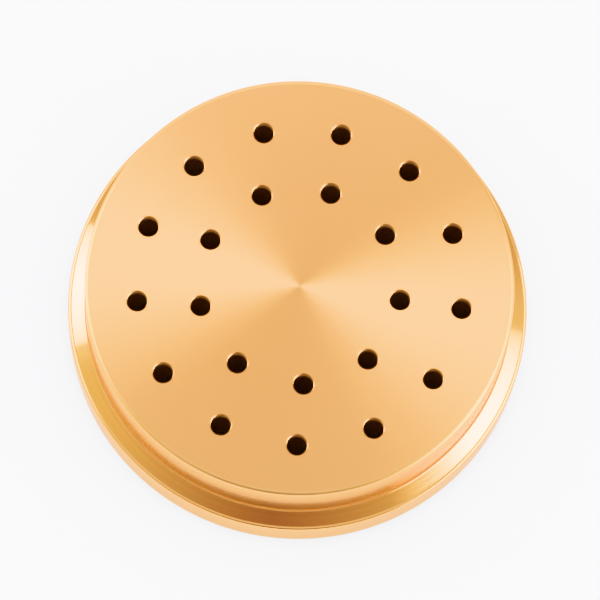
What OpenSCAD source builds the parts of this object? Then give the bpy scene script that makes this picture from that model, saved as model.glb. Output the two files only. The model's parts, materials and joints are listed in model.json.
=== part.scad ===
// Pasta extrusion die: one bronze disc, turned on a lathe and drilled with two rings of round holes.
// Dough enters at the back face (Z = 0) and leaves as strands at the outlet face, towards +Z.
// The origin is the centre of the back face. Both rings start on the +X axis.

/* [Turned blank] */
// Diameter of the flange, which sits in the mouth of the extruder
flange_d = 57; // [55:0.5:66]
// Diameter of the boss, which passes through the clamping ring
boss_d = 52.7; // [48:0.1:53.5]
// Thickness of the die from back face to outlet face
die_h = 15; // [12:0.5:22]
// Height of the straight rim of the flange
rim_h = 5.4; // [3:0.1:7]
// Width of the flat ledge between the rim and the foot of the conical shoulder
rim_ledge = 0.45; // [0.4:0.05:0.8]
// Slope of the conical shoulder, on which the clamping ring bears
shoulder_angle = 36; // [30:1:55]

/* [Edges] */
// Radius on the edge of the outlet face
face_edge_r = 0.5; // [0.2:0.05:1]
// Radius on the upper edge of the rim
rim_edge_r = 0.35; // [0.1:0.05:0.4]
// Radius on the lower edge of the rim
back_edge_r = 0.5; // [0.2:0.05:1]
// Radius that the turning tool leaves in the corner between boss and shoulder
tool_nose_r = 0.5; // [0.2:0.05:1]

/* [Holes] */
// Diameter of the outlet hole, which forms the strand
hole_d = 2.5; // [1.2:0.1:2.8]
// Length of the forming land, from the edge break at the face down to the entry cone
land_l = 1.1; // [0.6:0.05:5]
// Size of the 45 degree edge break at the outlet
outlet_break = 0.12; // [0.05:0.01:0.4]
// Diameter of the feed hole drilled from the back
feed_d = 4.8; // [3.6:0.1:6]
// Point angle of the drill that makes the feed hole
drill_point = 118; // [90:1:140]
// Size of the 45 degree edge break at the mouth of the feed hole
feed_break = 0.3; // [0.1:0.05:0.5]

/* [Hole rings] */
// Pitch circle diameter of the outer ring
outer_ring_d = 40; // [37:0.5:43]
// Number of holes in the outer ring
outer_count = 13; // [6:1:14]
// Pitch circle diameter of the inner ring
inner_ring_d = 24.8; // [20:0.2:26]
// Number of holes in the inner ring
inner_count = 9; // [3:1:9]

/* [Hidden] */
bronze = [0.89, 0.68, 0.40];
flange_r = flange_d / 2;
boss_r = boss_d / 2;
shoulder_foot_r = flange_r - rim_ledge;
shoulder_top_z = rim_h + (shoulder_foot_r - boss_r) * tan(shoulder_angle);
entry_cone_h = (feed_d - hole_d) / 2 / tan(drill_point / 2);
feed_l = die_h - outlet_break - land_l - entry_cone_h;
// Overshoot of a cut past the face that it opens
past = 0.5;
// How much deeper than tangent an edge arc is set, so that it always crosses both edges cleanly
hair = 0.0005;
$fn = 96;

// Half section of the blank: each corner is radius, height and edge radius, from the axis outwards and up
blank_corners = [
    [0, 0, 0],
    [flange_r, 0, back_edge_r],
    [flange_r, rim_h, min(rim_edge_r, rim_ledge)],
    [shoulder_foot_r, rim_h, 0],
    [boss_r, shoulder_top_z, tool_nose_r],
    [boss_r, die_h, face_edge_r],
    [0, die_h, 0]
];

function point(corner) = [corner[0], corner[1]];
function unit(v) = v / norm(v);
function corner_at(corners, i) = point(corners[(i + len(corners)) % len(corners)]);

function side_from(corners, i) = corner_at(corners, i + 1) - corner_at(corners, i);

// Positive where the outline, which runs anticlockwise, turns round an outer corner
function turn(corners, i) = cross(side_from(corners, i - 1), side_from(corners, i));

// The sliver between a sharp corner and the arc that rounds it
module corner_sliver(corners, i) {
    corner = corner_at(corners, i);
    edge_r = corners[i][2];
    to_before = unit(corner_at(corners, i - 1) - corner);
    to_after = unit(corner_at(corners, i + 1) - corner);
    half_angle = acos(to_before * to_after) / 2;
    tangent_l = edge_r / tan(half_angle);
    centre_l = edge_r / sin(half_angle) - hair;
    difference() {
        polygon([corner, corner + tangent_l * to_before, corner + tangent_l * to_after]);
        translate(corner + centre_l * unit(to_before + to_after)) circle(r = edge_r);
    }
}

// Half section with rounded corners: an outer corner loses its sliver and an inner corner gains one
module rounded_section(corners) {
    rounded = [for (i = [0 : len(corners) - 1]) if (corners[i][2] > 0) i];
    difference() {
        union() {
            polygon([for (corner = corners) point(corner)]);
            for (i = rounded) if (turn(corners, i) < 0) corner_sliver(corners, i);
        }
        for (i = rounded) if (turn(corners, i) > 0) corner_sliver(corners, i);
    }
}

// One hole right through: feed hole, entry cone left by the drill, forming land, edge break at the outlet
module stepped_hole() {
    translate([0, 0, -past]) cylinder(h = feed_l + past, d = feed_d);
    translate([0, 0, -past])
        cylinder(h = feed_break + past, d1 = feed_d + 2 * (feed_break + past), d2 = feed_d);
    translate([0, 0, feed_l]) cylinder(h = entry_cone_h, d1 = feed_d, d2 = hole_d);
    translate([0, 0, feed_l]) cylinder(h = die_h - feed_l, d = hole_d);
    translate([0, 0, die_h - outlet_break])
        cylinder(h = outlet_break + past, d1 = hole_d, d2 = hole_d + 2 * (outlet_break + past));
}

// Holes evenly spaced on one pitch circle
module hole_ring(ring_d, count) {
    for (i = [0 : count - 1])
        rotate([0, 0, i * 360 / count]) translate([ring_d / 2, 0, 0]) stepped_hole();
}

module die_body() {
    color(bronze) difference() {
        rotate_extrude($fn = 180) rounded_section(blank_corners);
        hole_ring(outer_ring_d, outer_count);
        hole_ring(inner_ring_d, inner_count);
    }
}

die_body();
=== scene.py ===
import json
import math

import bmesh
import bpy
from mathutils import Matrix, Vector


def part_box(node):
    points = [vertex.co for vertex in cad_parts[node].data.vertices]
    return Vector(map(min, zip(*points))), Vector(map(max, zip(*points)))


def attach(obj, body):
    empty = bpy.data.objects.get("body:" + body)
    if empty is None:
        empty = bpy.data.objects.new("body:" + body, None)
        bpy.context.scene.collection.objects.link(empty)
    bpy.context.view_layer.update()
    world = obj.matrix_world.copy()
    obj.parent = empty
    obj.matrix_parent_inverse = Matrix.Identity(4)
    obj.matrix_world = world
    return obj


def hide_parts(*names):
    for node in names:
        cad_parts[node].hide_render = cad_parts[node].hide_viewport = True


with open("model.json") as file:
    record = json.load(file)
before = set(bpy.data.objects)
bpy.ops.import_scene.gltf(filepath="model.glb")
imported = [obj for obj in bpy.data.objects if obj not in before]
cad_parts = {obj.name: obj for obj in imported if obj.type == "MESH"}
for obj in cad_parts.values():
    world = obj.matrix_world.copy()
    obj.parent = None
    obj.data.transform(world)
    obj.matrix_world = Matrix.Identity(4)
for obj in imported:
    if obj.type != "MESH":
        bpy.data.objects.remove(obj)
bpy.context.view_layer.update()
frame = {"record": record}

MM = 0.001
mounts = {mount["name"]: mount for mount in frame["record"]["mounts"]}

# Turned outside of the die, in millimetres and degrees
DIE_H = round(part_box("die_body")[1].z / MM, 3)
FLANGE_R = mounts["flange_rim"]["dims"]["r_mm"]
BOSS_R = mounts["boss"]["dims"]["r_mm"]
RIM_H = 5.4
RIM_LEDGE = 0.45
SHOULDER_ANGLE = 36
FACE_EDGE_R = 0.5
RIM_EDGE_R = 0.35
BACK_EDGE_R = 0.5
TOOL_NOSE_R = 0.5
SHOULDER_FOOT_R = FLANGE_R - RIM_LEDGE
SHOULDER_TOP_Z = RIM_H + (SHOULDER_FOOT_R - BOSS_R) * math.tan(math.radians(SHOULDER_ANGLE))

# Stepped holes, in millimetres and degrees. A ring is its pitch radius and number of holes, from +X on.
HOLE_RINGS = ((20.0, 13), (12.4, 9))
OUTLET_R = 1.25
OUTLET_BREAK = 0.12
LAND_L = 1.1
FEED_R = 2.4
FEED_BREAK = 0.3
DRILL_POINT = 118

# Fineness of the mesh: steps round the die, round a hole and along an edge arc
DIE_STEPS = 320
HOLE_STEPS = 72
ARC_STEPS = 10
# Narrow strip beside each edge arc, in millimetres, which keeps the shading of the flat next to it true
GUARD = 0.03
# Faces that meet at less than this are shaded as one round surface
SHARP_ANGLE = math.radians(25)

# Colours of the surfaces, as linear red, green and blue. A cloudy noise mixes the two colours of a pair.
FACE_TINTS = ((0.91, 0.53, 0.22), (0.94, 0.56, 0.24))
FACE_BAND_TINT = (0.97, 0.61, 0.28)
SIDE_TINTS = ((0.93, 0.58, 0.23), (0.97, 0.62, 0.26))
SIDE_STREAK_TINT = (0.84, 0.50, 0.18)
# Painted shade: brown that darkens the boss wall from its foot up
WALL_SHADE_TINT = (0.43, 0.36, 0.32)
# Painted shade: dark in the corner where the boss wall meets the tool nose
CORNER_SHADE_TINT = (0.42, 0.19, 0.04)
MOUTH_TINTS = ((0.82, 0.43, 0.16), (0.90, 0.50, 0.20))
FILM_TINTS = ((0.62, 0.40, 0.32), (0.70, 0.46, 0.37))
LAND_TINTS = ((0.48, 0.27, 0.12), (0.56, 0.33, 0.15))
# Painted shade: dark at the inner end of each hole's land
LAND_SHADE_TINT = (0.20, 0.10, 0.06)
FLOOR_TINTS = ((0.85, 0.88, 0.94), (0.88, 0.91, 0.97))
# Tint of the metal's reflection at a grazing angle, with an alpha
GRAZING_TINT = (1.0, 0.83, 0.65, 1.0)

# Start and end of the fades between finishes and of painted shade, in millimetres: out from the middle of
# the face, up the boss wall from its foot, out from that wall along the tool nose, and into a hole from its
# edge break
FACE_SHEEN_OUT = (4.0, BOSS_R)
WALL_SHADE_UP = (0.3, 7.6)
WALL_OUT = (0.16, 0.04)
CORNER_UP = (0.4, 0.1)
CORNER_OUT = (0.2, 0.1)
FILM_IN = (0.0, 0.1)
LAND_IN = (LAND_L + 0.05, LAND_L)
LAND_SHADE_IN = (0.6 * LAND_L, 0.85 * LAND_L)

# Tool marks: their depth in metres, the usual range of the noise that makes them, and the turn that lays
# highlights across them, as a share of a full one
MARK_DEPTH = 0.05 * MM
NOISE_RANGE = (0.2, 0.8)
ACROSS_MARKS = 0.25

# Camera, from the photograph's perspective. Pixels are counted from the image's top left corner, lengths
# are in metres, and angles in degrees, with azimuth from +X.
IMAGE_PX = 600
FACE_CENTRE_PX = (299.8, 285.8)
FACE_PX_PER_M = 8170
CAMERA_DISTANCE = 0.6
CAMERA_AZIMUTH = -87.7
CAMERA_ELEVATION = 75
CAMERA_CLIP_START = 0.01
AXIS_LEAN = 5.8
SENSOR_MM = 36

# Room that the metal mirrors, as radiance in red, green and blue. A foot is the part near the floor.
ROOM_FRONT = (0.425, 0.235, 0.22)
ROOM_FRONT_FOOT = (0.165, 0.09, 0.13)
ROOM_SIDE = (0.95, 0.82, 0.54)
ROOM_SIDE_FOOT = (1.12, 1.16, 1.05)
ROOM_BACK = (0.74, 0.58, 0.42)
ROOM_OVERHEAD = (0.93, 0.93, 0.94)
BACKDROP = (3.0, 3.0, 3.0)
# Azimuth of the room's front, then start and end of fades: by angle from it, and by sine of elevation
ROOM_FRONT_AZIMUTH = math.radians(271)
SIDE_FADE = (math.radians(-10), math.radians(80))
BACK_FADE = (math.radians(95), math.radians(130))
FOOT_FADE = (0.0, 0.4)
OVERHEAD_FADE = (0.72, 0.96)

# Light panels and floor, in metres
PANEL_DISTANCE = 0.8
PANEL_COLOUR = (1.0, 1.05, 0.95)
FLOOR_HALF = 3.0
FLOOR_DROP = 0.05 * MM


class NodeGraph:
    """Adds nodes to a tree and links them, so that a formula of nodes reads as a formula."""

    def __init__(self, tree):
        self.tree = tree
        tree.nodes.clear()

    def feed(self, socket, value):
        """Links a socket to another socket, or sets it to a plain value."""
        if isinstance(value, bpy.types.NodeSocket):
            self.tree.links.new(value, socket)
        else:
            socket.default_value = value

    def node(self, kind, inputs=None, **settings):
        node = self.tree.nodes.new(kind)
        for name, value in settings.items():
            setattr(node, name, value)
        for socket, value in (inputs or {}).items():
            self.feed(node.inputs[socket], value)
        return node

    def math(self, operation, *values):
        node = self.node("ShaderNodeMath", operation=operation)
        for socket, value in zip(node.inputs, values):
            self.feed(socket, value)
        return node.outputs[0]

    def hypot(self, x, y):
        return self.math("SQRT", self.math("MULTIPLY_ADD", x, x, self.math("MULTIPLY", y, y)))

    def shift(self, base, by, where):
        """Moves a base value by an amount, in the measure that where goes from 0 to 1."""
        return self.math("MULTIPLY_ADD", where, by, base)

    def smooth(self, value, low, high, at_low=0.0, at_high=1.0):
        """Goes smoothly from at_low to at_high while value goes from low to high."""
        node = self.node("ShaderNodeMapRange", interpolation_type="SMOOTHSTEP")
        for socket, number in zip(node.inputs, (value, low, high, at_low, at_high)):
            self.feed(socket, number)
        return node.outputs[0]

    def mix(self, factor, a, b, strength=None):
        """Mixes two colours, given as three numbers or as sockets. A strength weakens the factor."""
        if strength is not None:
            factor = self.math("MULTIPLY", factor, strength)
        node = self.node("ShaderNodeMix", data_type="RGBA")
        for socket, value in zip((node.inputs[0], node.inputs[6], node.inputs[7]), (factor, a, b)):
            self.feed(socket, (*value, 1.0) if isinstance(value, tuple) else value)
        return node.outputs[2]

    def noise(self, vector, scale, detail=2.0):
        inputs = {"Vector": vector, "Scale": scale, "Detail": detail}
        return self.node("ShaderNodeTexNoise", inputs).outputs[0]

    def vector(self, x, y, z):
        return self.node("ShaderNodeCombineXYZ", {0: x, 1: y, 2: z}).outputs[0]

    def split(self, vector):
        return self.node("ShaderNodeSeparateXYZ", {0: vector}).outputs

    def position(self):
        """Position on the object, in millimetres."""
        metres = self.node("ShaderNodeTexCoord").outputs["Object"]
        scaled = self.node("ShaderNodeVectorMath", {0: metres, "Scale": 1 / MM}, operation="SCALE")
        return scaled.outputs[0]

    def bronze(self, tint, roughness, marks, bump, anisotropy, metallic=1.0):
        """Metal whose highlights stretch across its circular tool marks."""
        relief = self.node("ShaderNodeBump", {"Height": marks, "Strength": bump, "Distance": MARK_DEPTH})
        tangent = self.node("ShaderNodeTangent", direction_type="RADIAL", axis="Z")
        shader = self.node("ShaderNodeBsdfPrincipled", {
            "Base Color": tint,
            "Metallic": metallic,
            "Roughness": roughness,
            "Specular Tint": GRAZING_TINT,
            "Anisotropic": anisotropy,
            "Anisotropic Rotation": ACROSS_MARKS,
            "Tangent": tangent.outputs[0],
            "Normal": relief.outputs[0],
        })
        self.node("ShaderNodeOutputMaterial", {"Surface": shader.outputs[0]})


def new_graph(name):
    material = bpy.data.materials.new(name)
    material.use_nodes = True
    return material, NodeGraph(material.node_tree)


def satin_face():
    """The outlet face and the back: fine turned, so that light spreads across the circular marks."""
    material, graph = new_graph("satin_face")
    position = graph.position()
    x, y, _ = graph.split(position)
    radius = graph.hypot(x, y)
    across = graph.vector(radius, 0.0, 0.0)
    marks = graph.noise(across, scale=8.0, detail=3.0)
    bands = graph.noise(across, scale=0.9)
    cloud = graph.noise(position, scale=0.07, detail=3.0)
    tint = graph.mix(cloud, *FACE_TINTS)
    tint = graph.mix(bands, tint, FACE_BAND_TINT, strength=0.2)
    roughness = graph.smooth(radius, *FACE_SHEEN_OUT, at_low=0.37, at_high=0.33)
    roughness = graph.shift(roughness, by=0.10, where=marks)
    graph.bronze(tint, roughness, marks, bump=0.12, anisotropy=0.9)
    return material


def polished_side():
    """Rim, shoulder, boss wall and edges: polished, with faint turned streaks.

    The wall is satin at the top and glossy towards its foot, where painted shade turns it brown, and
    painted shade darkens the dull corner under it.
    """
    material, graph = new_graph("polished_side")
    position = graph.position()
    x, y, height = graph.split(position)
    radius = graph.hypot(x, y)
    across = graph.vector(radius, height, 0.0)
    marks = graph.noise(across, scale=6.0, detail=3.0)
    streaks = graph.smooth(graph.noise(across, scale=3.0), low=0.45, high=0.75, at_high=0.5)
    cloud = graph.noise(position, scale=0.12, detail=3.0)
    above_corner = graph.math("SUBTRACT", height, SHOULDER_TOP_Z)
    off_wall = graph.math("SUBTRACT", radius, BOSS_R)
    on_wall = graph.smooth(off_wall, *WALL_OUT)
    # Painted shade on the boss wall, strongest at its foot and fading out near its top
    wall_shade = graph.smooth(above_corner, *WALL_SHADE_UP, at_low=1.0, at_high=0.05)
    wall_shade = graph.math("MULTIPLY", wall_shade, on_wall)
    # Painted shade in the corner under the boss wall, which is also rougher there
    shaded_corner = graph.smooth(off_wall, *CORNER_OUT)
    shaded_corner = graph.math("MULTIPLY", shaded_corner, graph.smooth(above_corner, *CORNER_UP))
    tint = graph.mix(cloud, *SIDE_TINTS)
    tint = graph.mix(streaks, tint, SIDE_STREAK_TINT)
    # Paints shade brown up the wall and dark into its corner
    tint = graph.mix(wall_shade, tint, WALL_SHADE_TINT, strength=0.55)
    tint = graph.mix(shaded_corner, tint, CORNER_SHADE_TINT, strength=0.8)
    satin = graph.math("MAXIMUM", graph.math("SUBTRACT", on_wall, wall_shade), shaded_corner)
    roughness = graph.smooth(marks, *NOISE_RANGE, at_low=0.09, at_high=0.13)
    roughness = graph.shift(roughness, by=0.2, where=satin)
    metallic = graph.shift(1.0, by=-0.06, where=wall_shade)
    graph.bronze(tint, roughness, marks, bump=0.02, anisotropy=0.8, metallic=metallic)
    return material


def drilled_bore():
    """Inside of the holes: bare at the two mouths, filmed by use inside, with shade painted dark at the
    inner end of the land.
    """
    material, graph = new_graph("drilled_bore")
    position = graph.position()
    height = graph.split(position)[2]
    above_back = graph.math("SUBTRACT", height, FEED_BREAK)
    below_face = graph.math("SUBTRACT", DIE_H - OUTLET_BREAK, height)
    film = graph.smooth(graph.math("MINIMUM", above_back, below_face), *FILM_IN)
    land = graph.smooth(below_face, *LAND_IN)
    # Painted shade, darker deeper down the land
    land_shade = graph.smooth(below_face, *LAND_SHADE_IN)
    marks = graph.noise(graph.vector(0.0, 0.0, height), scale=9.0)
    cloud = graph.noise(position, scale=1.5)
    mouth_tint = graph.mix(cloud, *MOUTH_TINTS)
    land_tint = graph.mix(land_shade, graph.mix(cloud, *LAND_TINTS), LAND_SHADE_TINT)
    inside_tint = graph.mix(land, graph.mix(cloud, *FILM_TINTS), land_tint)
    tint = graph.mix(film, mouth_tint, inside_tint)
    roughness = graph.smooth(marks, *NOISE_RANGE, at_low=0.30, at_high=0.36)
    roughness = graph.shift(roughness, by=0.12, where=film)
    metallic = graph.shift(1.0, by=-0.8, where=film)
    graph.bronze(tint, roughness, marks, bump=0.1, anisotropy=0.0, metallic=metallic)
    return material


def white_board():
    """Matt white floor with a very faint tooth."""
    material, graph = new_graph("white_board")
    tooth = graph.noise(graph.position(), scale=0.4, detail=3.0)
    tint = graph.mix(tooth, *FLOOR_TINTS)
    shader = graph.node("ShaderNodeBsdfPrincipled", {"Base Color": tint, "Roughness": 0.9})
    graph.node("ShaderNodeOutputMaterial", {"Surface": shader.outputs[0]})
    return material


def spokes(count):
    """Directions that go evenly round the axis from +X, as cosine and sine."""
    turns = [2 * math.pi * i / count for i in range(count)]
    return [(math.cos(turn), math.sin(turn)) for turn in turns]


def arc(centre, radius, start, end):
    """Points of an edge arc in the half section, by angles in degrees, with a guard point at each end."""
    way = math.copysign(1.0, end - start)
    angles = [math.radians(start + (end - start) * i / ARC_STEPS) for i in range(ARC_STEPS + 1)]
    points = [
        Vector((centre[0] + radius * math.cos(angle), centre[1] + radius * math.sin(angle)))
        for angle in angles
    ]
    first, last = (way * Vector((-math.sin(angle), math.cos(angle))) for angle in (angles[0], angles[-1]))
    return [points[0] - GUARD * first, *points, points[-1] + GUARD * last]


def outside_section():
    """Half section of the outside as radius and height, from the back face round to the outlet face."""
    nose_z = SHOULDER_TOP_Z + TOOL_NOSE_R / math.tan(math.radians(90 + SHOULDER_ANGLE) / 2)
    back_edge = arc((FLANGE_R - BACK_EDGE_R, BACK_EDGE_R), BACK_EDGE_R, -90, 0)
    rim_edge = arc((FLANGE_R - RIM_EDGE_R, RIM_H - RIM_EDGE_R), RIM_EDGE_R, 0, 90)
    shoulder_foot = [Vector((SHOULDER_FOOT_R, RIM_H))]
    tool_nose = arc((BOSS_R + TOOL_NOSE_R, nose_z), TOOL_NOSE_R, 270 - SHOULDER_ANGLE, 180)
    face_edge = arc((BOSS_R - FACE_EDGE_R, DIE_H - FACE_EDGE_R), FACE_EDGE_R, 0, 90)
    return back_edge + rim_edge + shoulder_foot + tool_nose + face_edge


def hole_section():
    """Half section of one hole as radius and height, from the outlet face down to the back face."""
    cone_h = (FEED_R - OUTLET_R) / math.tan(math.radians(DRILL_POINT / 2))
    land_end_z = DIE_H - OUTLET_BREAK - LAND_L
    return [
        (OUTLET_R + OUTLET_BREAK, DIE_H),
        (OUTLET_R, DIE_H - OUTLET_BREAK),
        (OUTLET_R, land_end_z),
        (FEED_R, land_end_z - cone_h),
        (FEED_R, FEED_BREAK),
        (FEED_R + FEED_BREAK, 0),
    ]


def revolve(bm, section, steps, slot, centre=(0, 0)):
    """Turns a half section about an upright axis, and returns its first and last ring of vertices."""
    directions = spokes(steps)
    rings = [
        [bm.verts.new((centre[0] + radius * x, centre[1] + radius * y, height)) for x, y in directions]
        for radius, height in section
    ]
    for ring, following in zip(rings, rings[1:]):
        for j in range(steps):
            face = bm.faces.new((ring[j - 1], ring[j], following[j], following[j - 1]))
            face.material_index = slot
    return rings[0], rings[-1]


def fill_plane(bm, rings, slot):
    """Fills the flat between an outer ring and the rings of the holes in it."""
    edges = [bm.edges.get((ring[j - 1], ring[j])) for ring in rings for j in range(len(ring))]
    filled = bmesh.ops.triangle_fill(bm, use_beauty=True, edges=edges)
    for face in filled["geom"]:
        if isinstance(face, bmesh.types.BMFace):
            face.material_index = slot


def add_object(name, data):
    thing = bpy.data.objects.new(name, data)
    bpy.context.scene.collection.objects.link(thing)
    return thing


def make_die():
    """The die with the form of its CAD node, in a finer mesh whose zones have their own finish."""
    face_slot, side_slot, bore_slot = range(3)
    bm = bmesh.new()
    back_ring, face_ring = revolve(bm, outside_section(), DIE_STEPS, side_slot)
    face_rings = [face_ring]
    back_rings = [back_ring]
    for pitch_r, count in HOLE_RINGS:
        for x, y in spokes(count):
            outlet, inlet = revolve(bm, hole_section(), HOLE_STEPS, bore_slot, (pitch_r * x, pitch_r * y))
            face_rings.append(outlet)
            back_rings.append(inlet)
    fill_plane(bm, face_rings, face_slot)
    fill_plane(bm, back_rings, face_slot)
    bmesh.ops.recalc_face_normals(bm, faces=bm.faces)
    for face in bm.faces:
        face.smooth = True
    mesh = bpy.data.meshes.new("turned_die")
    bm.to_mesh(mesh)
    bm.free()
    mesh.transform(Matrix.Scale(MM, 4))
    mesh.set_sharp_from_angle(angle=SHARP_ANGLE)
    for material in (satin_face(), polished_side(), drilled_bore()):
        mesh.materials.append(material)
    die = add_object("turned_die", mesh)
    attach(die, "root")
    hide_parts("die_body")


def make_floor():
    """Square floor, a hair below the back face so that the two never lie in one plane."""
    signs = ((-1, -1), (1, -1), (1, 1), (-1, 1))
    corners = [(x * FLOOR_HALF, y * FLOOR_HALF, -FLOOR_DROP) for x, y in signs]
    mesh = bpy.data.meshes.new("floor")
    mesh.from_pydata(corners, [], [(0, 1, 2, 3)])
    mesh.materials.append(white_board())
    floor = add_object("floor", mesh)


def make_world():
    """Room that the metal mirrors: dark in front, lighter at the sides, dimmer behind and even overhead.

    Near the floor the front is darker still and the sides are lighter. The camera itself sees white.
    """
    world = bpy.data.worlds.new("studio")
    world.use_nodes = True
    bpy.context.scene.world = world
    graph = NodeGraph(world.node_tree)
    direction = graph.node("ShaderNodeTexCoord").outputs["Generated"]
    x, y, z = graph.split(direction)
    along_front = graph.math("MULTIPLY", x, math.cos(ROOM_FRONT_AZIMUTH))
    along_front = graph.math("MULTIPLY_ADD", y, math.sin(ROOM_FRONT_AZIMUTH), along_front)
    # Straight up there is no azimuth, so the divisor stays above zero
    level = graph.math("MAXIMUM", graph.hypot(x, y), 0.001)
    off_front = graph.math("ARCCOSINE", graph.math("DIVIDE", along_front, level))
    above_foot = graph.smooth(z, *FOOT_FADE)
    front = graph.mix(above_foot, ROOM_FRONT_FOOT, ROOM_FRONT)
    side = graph.mix(above_foot, ROOM_SIDE_FOOT, ROOM_SIDE)
    room = graph.mix(graph.smooth(off_front, *SIDE_FADE), front, side)
    room = graph.mix(graph.smooth(off_front, *BACK_FADE), room, ROOM_BACK)
    room = graph.mix(graph.smooth(z, *OVERHEAD_FADE), room, ROOM_OVERHEAD)
    seen = graph.node("ShaderNodeLightPath").outputs["Is Camera Ray"]
    background = graph.node("ShaderNodeBackground", {"Color": graph.mix(seen, room, BACKDROP)})
    graph.node("ShaderNodeOutputWorld", {"Surface": background.outputs[0]})


def around(azimuth, elevation, distance):
    """Point at a distance from the origin. Azimuth is counted from +X, both angles in degrees."""
    azimuth = math.radians(azimuth)
    elevation = math.radians(elevation)
    level = distance * math.cos(elevation)
    return level * math.cos(azimuth), level * math.sin(azimuth), distance * math.sin(elevation)


def make_panel(name, place, width, height, radiance, colour=(1, 1, 1), spread=180):
    """Soft light panel that faces the die. A narrow spread, in degrees, dims it off its axis."""
    half_spread = math.radians(spread / 2)
    light = bpy.data.lights.new(name, "AREA")
    light.color = colour
    light.shape = "RECTANGLE"
    light.size = width
    light.size_y = height
    light.spread = 2 * half_spread
    light.energy = radiance * width * height * math.pi * (1 - half_spread / math.tan(half_spread))
    panel = add_object(name, light)
    facing = Vector(place).to_track_quat("Z", "Y").to_matrix().to_4x4()
    panel.matrix_world = Matrix.Translation(place) @ facing
    panel.visible_camera = False
    return panel


def make_lights():
    """Low side panels show in the shoulder and the hole edges, high ones as two fans on the satin face.

    A card behind the die lights the face between the fans. A wide fill lights the floor and isn't mirrored.
    """
    for name, azimuth, elevation, width, height, radiance, spread in (
        ("low_left", 168, 14, 0.44, 0.28, 24, 38),
        ("low_right", -16, 17.7, 0.97, 0.175, 30, 65),
        ("high_left", 167, 43, 0.56, 0.52, 5.9, 180),
        ("high_right", 12, 43, 0.56, 0.52, 5.9, 180),
    ):
        place = around(azimuth, elevation, PANEL_DISTANCE)
        panel = make_panel(name, place, width, height, radiance, PANEL_COLOUR, spread)
        panel.visible_diffuse = False
    card_place = around(azimuth=105, elevation=37, distance=0.13)
    card = make_panel("back_card", card_place, width=0.22, height=0.07, radiance=2.0)
    card.visible_diffuse = False
    fill = make_panel("floor_fill", (0, 0, 2.5), width=8.0, height=8.0, radiance=2.2)
    fill.visible_glossy = False


def make_camera():
    """Camera that shows the outlet face at its place, scale and lean in the photograph."""
    camera_data = bpy.data.cameras.new("camera")
    camera_data.sensor_width = SENSOR_MM
    camera_data.lens = FACE_PX_PER_M * CAMERA_DISTANCE * SENSOR_MM / IMAGE_PX
    camera_data.clip_start = CAMERA_CLIP_START
    camera = add_object("camera", camera_data)
    back = Vector(around(CAMERA_AZIMUTH, CAMERA_ELEVATION, 1))
    level_right = Vector((0, 0, 1)).cross(back).normalized()
    level_up = back.cross(level_right)
    lean = math.radians(AXIS_LEAN)
    right = math.cos(lean) * level_right + math.sin(lean) * level_up
    up = back.cross(right)
    off_right = (IMAGE_PX / 2 - FACE_CENTRE_PX[0]) / FACE_PX_PER_M
    off_down = (IMAGE_PX / 2 - FACE_CENTRE_PX[1]) / FACE_PX_PER_M
    place = Vector((0, 0, DIE_H * MM)) + CAMERA_DISTANCE * back + off_right * right - off_down * up
    camera.matrix_world = Matrix.Translation(place) @ Matrix((right, up, back)).transposed().to_4x4()
    bpy.context.scene.camera = camera


make_die()
make_floor()
make_world()
make_lights()
make_camera()
# Neutral product colours, and no speckles from light that the polished metal throws
bpy.context.scene.view_settings.view_transform = "Khronos PBR Neutral"
bpy.context.scene.cycles.caustics_reflective = False
